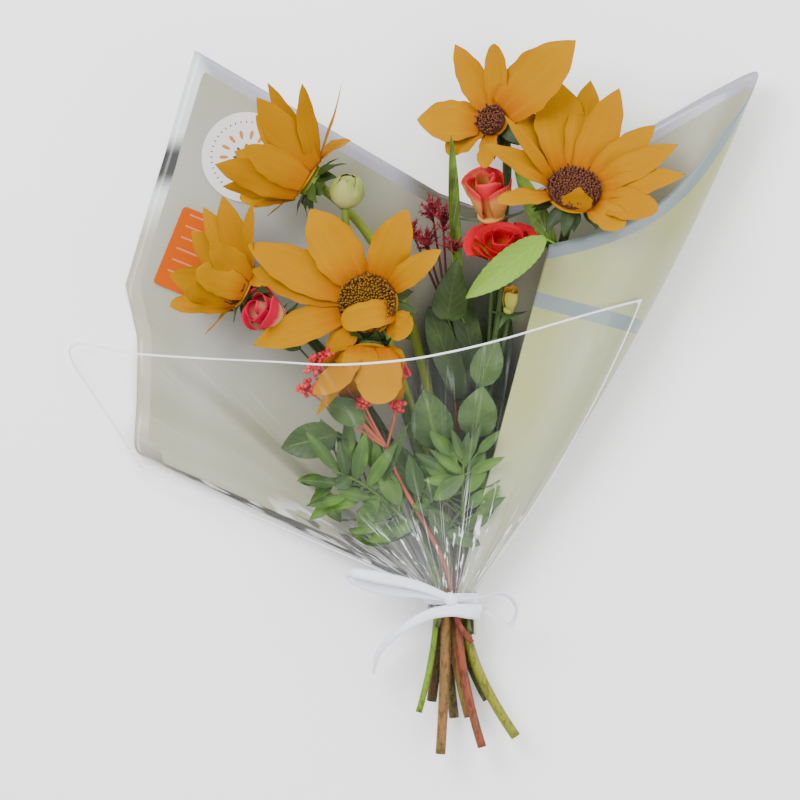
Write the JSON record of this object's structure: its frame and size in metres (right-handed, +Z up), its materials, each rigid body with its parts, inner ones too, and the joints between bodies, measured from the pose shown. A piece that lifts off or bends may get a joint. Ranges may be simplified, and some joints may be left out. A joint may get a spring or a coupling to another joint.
{
  "type": "mixed flower bouquet",
  "caption": "Hand-tied bouquet of sunflowers, spray roses, red filler and greenery, lying on its back in a film wrap tied with a ribbon.",
  "frame": {"origin": "middle of the footprint, on the table", "axes": "+Y from the cut stems towards the flower heads, +Z up, the way the bouquet faces"},
  "size_m": [0.4864, 0.5014, 0.112],
  "materials": {
    "ray_petals": "satin petals",
    "flower_discs": "rough florets",
    "sunflower_greens": "hairy stems and bracts",
    "rose_greens": "waxy leaves and stems",
    "red_rose_petals": "satin petals",
    "pink_rose_petals": "satin petals",
    "pale_rose_petals": "satin petals",
    "bud_scales": "soft",
    "coral_florets": "matt",
    "dark_red_florets": "matt",
    "foliage": "waxy leaves",
    "wrap_film": "pearl film with a clear border",
    "clear_film": "clear glossy film",
    "ribbon": "satin",
    "label_round": "matt",
    "label_price": "matt"
  },
  "bodies": {
    "root": {"clear_film": "clear_film", "coral_spray": "coral_florets", "green_bud": "bud_scales", "label_price": "label_price", "label_round": "label_round", "leafy_spray_left": "foliage", "leafy_spray_right": "foliage", "red_spray": "dark_red_florets", "ribbon": "ribbon", "rose_bud": "pale_rose_petals", "rose_left": "pink_rose_petals", "rose_lower": "red_rose_petals", "rose_stem_left": "rose_greens", "rose_stem_right": "rose_greens", "rose_upper": "red_rose_petals", "sunflower_front_disc": "flower_discs", "sunflower_front_rays": "ray_petals", "sunflower_front_stem": "sunflower_greens", "sunflower_left_disc": "flower_discs", "sunflower_left_rays": "ray_petals", "sunflower_left_stem": "sunflower_greens", "sunflower_low_disc": "flower_discs", "sunflower_low_rays": "ray_petals", "sunflower_low_stem": "sunflower_greens", "sunflower_right_disc": "flower_discs", "sunflower_right_rays": "ray_petals", "sunflower_right_stem": "sunflower_greens", "sunflower_side_disc": "flower_discs", "sunflower_side_rays": "ray_petals", "sunflower_side_stem": "sunflower_greens", "sunflower_top_disc": "flower_discs", "sunflower_top_rays": "ray_petals", "sunflower_top_stem": "sunflower_greens", "wrap_film": "wrap_film"}
  },
  "joints": []
}
